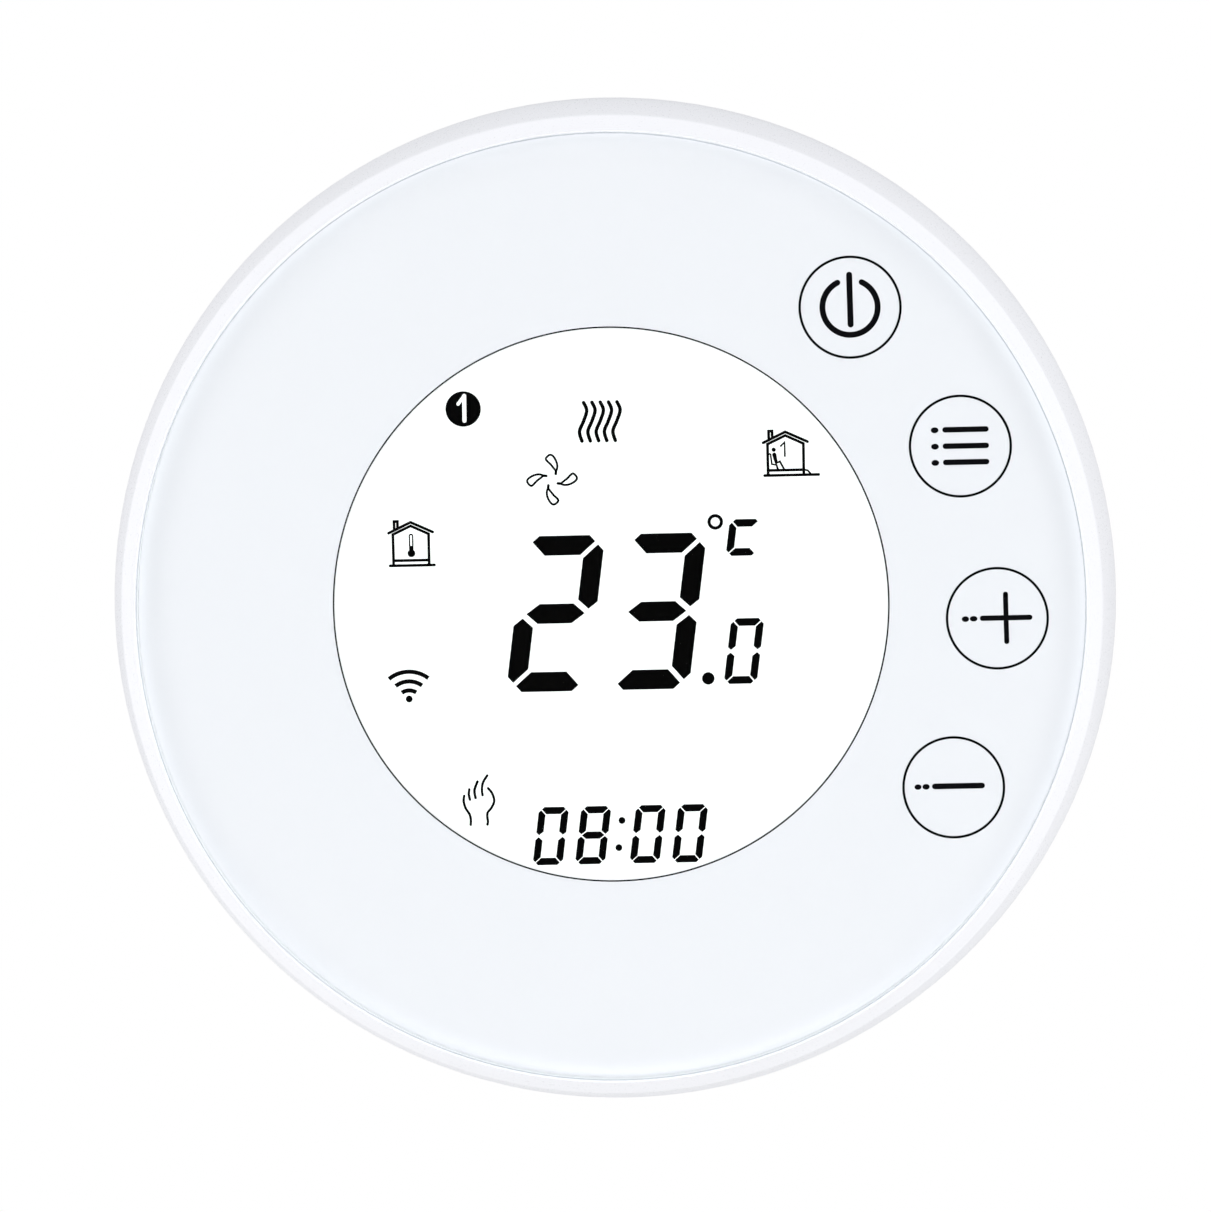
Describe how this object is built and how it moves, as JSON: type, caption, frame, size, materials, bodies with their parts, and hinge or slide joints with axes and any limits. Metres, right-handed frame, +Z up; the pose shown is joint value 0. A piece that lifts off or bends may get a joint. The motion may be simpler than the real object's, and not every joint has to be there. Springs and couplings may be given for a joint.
{
  "type": "programmable timer thermostat",
  "caption": "Round glass-fronted programmable room thermostat and timer for a flush wall box, with display, touch keys and a head that pulls off its plate.",
  "frame": {"origin": "centre of the 60 mm wall-box screw pattern, on the wall plane at the mounting plate's back", "axes": "+X to the right seen from the front, +Y into the wall, +Z up; the glass faces -Y"},
  "size_m": [0.1, 0.041, 0.1],
  "materials": {
    "clear_glass": "polished",
    "display_glass": "polished",
    "printed_film": "white printed film",
    "adhesive": "matt foam tape",
    "white_plastic": "fine satin",
    "cover_plastic": "fine spark texture",
    "polarizer": "film",
    "holder_plastic": "matt",
    "guide_acrylic": "polished",
    "reflector": "white film",
    "board": "solder mask",
    "chip_black": "moulded, matt",
    "chip_part": "ceramic",
    "lamp": "phosphor",
    "tinned": "tinned",
    "zinc_steel": "bright zinc",
    "screw_steel": "zinc, cross head",
    "spring_steel": "plated",
    "cell_steel": "bright",
    "rubber_strip": "silicone",
    "connector_black": "moulded",
    "case_plastic": "fine spark texture",
    "cap_sleeve": "shrink sleeve",
    "film_cap_yellow": "moulded box",
    "varistor_blue": "dipped",
    "fuse_brown": "moulded",
    "ferrite": "ground",
    "winding": "enamelled wire under tape",
    "relay_blue": "moulded",
    "relay_iron": "nickel plated",
    "contact_brass": "plain",
    "block_grey": "moulded",
    "clamp_steel": "yellow zinc",
    "thermistor": "dipped bead"
  },
  "bodies": {
    "base": {"mounting_plate": "zinc_steel", "power_case": "case_plastic", "case_screws": "screw_steel", "power_board": "board", "header_body": "connector_black", "header_pins": "contact_brass", "power_chips": "chip_black", "bulk_capacitors": "cap_sleeve", "film_capacitor": "film_cap_yellow", "varistor": "varistor_blue", "fuse": "fuse_brown", "transformer_core": "ferrite", "transformer_coil": "winding", "relay_cover": "relay_blue", "relay_base": "relay_blue", "relay_coil": "winding", "relay_yoke": "relay_iron", "relay_contact": "contact_brass", "terminal_block": "block_grey", "terminal_bars": "contact_brass"},
    "head": {"front_glass": "clear_glass", "mask_film": "printed_film", "glass_adhesive": "adhesive", "front_housing": "white_plastic", "rear_cover": "cover_plastic", "cover_screws": "screw_steel", "lcd_front_glass": "display_glass", "lcd_rear_glass": "display_glass", "lcd_polarizers": "polarizer", "lcd_holder": "holder_plastic", "light_guide": "guide_acrylic", "reflector_sheet": "reflector", "zebra_strip": "rubber_strip", "control_board": "board", "main_chip": "chip_black", "small_chips": "chip_black", "radio_module": "board", "radio_shield": "tinned", "coin_cell": "cell_steel", "cell_holder": "spring_steel", "chip_parts": "chip_part", "leds": "lamp", "touch_springs": "spring_steel", "head_socket": "connector_black", "room_sensor": "thermistor", "board_screws": "screw_steel"},
    "relay_flap": {"relay_armature": "relay_iron", "relay_blade": "contact_brass"},
    "terminal_screw_1": {"terminal_screw_1": "screw_steel"},
    "terminal_cage_1": {"terminal_cage_1": "clamp_steel"},
    "terminal_screw_2": {"terminal_screw_2": "screw_steel"},
    "terminal_cage_2": {"terminal_cage_2": "clamp_steel"},
    "terminal_screw_3": {"terminal_screw_3": "screw_steel"},
    "terminal_cage_3": {"terminal_cage_3": "clamp_steel"},
    "terminal_screw_4": {"terminal_screw_4": "screw_steel"},
    "terminal_cage_4": {"terminal_cage_4": "clamp_steel"},
    "terminal_screw_5": {"terminal_screw_5": "screw_steel"},
    "terminal_cage_5": {"terminal_cage_5": "clamp_steel"},
    "terminal_screw_6": {"terminal_screw_6": "screw_steel"},
    "terminal_cage_6": {"terminal_cage_6": "clamp_steel"}
  },
  "joints": [
    {"name": "head_pull", "type": "slide", "parent": "base", "child": "head", "axis": [0, -1, 0], "range_m": [0, 0.025]},
    {"name": "relay_flap_rock", "type": "hinge", "parent": "base", "child": "relay_flap", "pos_m": [-0.0074, 0.01705, 0.001], "axis": [0, 0, 1], "range_deg": [0, 3.3], "stiffness_Nm_per_rad": 0.002, "springref_deg": -2.86},
    {"name": "terminal_cage_1_rise", "type": "slide", "parent": "base", "child": "terminal_cage_1", "axis": [0, 1, 0], "range_m": [0, 0.00237]},
    {"name": "terminal_screw_1_turn", "type": "hinge", "parent": "base", "child": "terminal_screw_1", "pos_m": [-0.015, 0.0158, -0.0175], "axis": [0, -1, 0], "range_deg": [0, 1711]},
    {"name": "terminal_cage_2_rise", "type": "slide", "parent": "base", "child": "terminal_cage_2", "axis": [0, 1, 0], "range_m": [0, 0.00237]},
    {"name": "terminal_screw_2_turn", "type": "hinge", "parent": "base", "child": "terminal_screw_2", "pos_m": [-0.009, 0.0158, -0.0175], "axis": [0, -1, 0], "range_deg": [0, 1711]},
    {"name": "terminal_cage_3_rise", "type": "slide", "parent": "base", "child": "terminal_cage_3", "axis": [0, 1, 0], "range_m": [0, 0.00237]},
    {"name": "terminal_screw_3_turn", "type": "hinge", "parent": "base", "child": "terminal_screw_3", "pos_m": [-0.003, 0.0158, -0.0175], "axis": [0, -1, 0], "range_deg": [0, 1711]},
    {"name": "terminal_cage_4_rise", "type": "slide", "parent": "base", "child": "terminal_cage_4", "axis": [0, 1, 0], "range_m": [0, 0.00237]},
    {"name": "terminal_screw_4_turn", "type": "hinge", "parent": "base", "child": "terminal_screw_4", "pos_m": [0.003, 0.0158, -0.0175], "axis": [0, -1, 0], "range_deg": [0, 1711]},
    {"name": "terminal_cage_5_rise", "type": "slide", "parent": "base", "child": "terminal_cage_5", "axis": [0, 1, 0], "range_m": [0, 0.00237]},
    {"name": "terminal_screw_5_turn", "type": "hinge", "parent": "base", "child": "terminal_screw_5", "pos_m": [0.009, 0.0158, -0.0175], "axis": [0, -1, 0], "range_deg": [0, 1711]},
    {"name": "terminal_cage_6_rise", "type": "slide", "parent": "base", "child": "terminal_cage_6", "axis": [0, 1, 0], "range_m": [0, 0.00237]},
    {"name": "terminal_screw_6_turn", "type": "hinge", "parent": "base", "child": "terminal_screw_6", "pos_m": [0.015, 0.0158, -0.0175], "axis": [0, -1, 0], "range_deg": [0, 1711]}
  ],
  "couplings": [
    {"joint": "terminal_screw_1_turn", "follows": "terminal_cage_1_rise", "rad_per_m": 12566},
    {"joint": "terminal_screw_2_turn", "follows": "terminal_cage_2_rise", "rad_per_m": 12566},
    {"joint": "terminal_screw_3_turn", "follows": "terminal_cage_3_rise", "rad_per_m": 12566},
    {"joint": "terminal_screw_4_turn", "follows": "terminal_cage_4_rise", "rad_per_m": 12566},
    {"joint": "terminal_screw_5_turn", "follows": "terminal_cage_5_rise", "rad_per_m": 12566},
    {"joint": "terminal_screw_6_turn", "follows": "terminal_cage_6_rise", "rad_per_m": 12566}
  ]
}
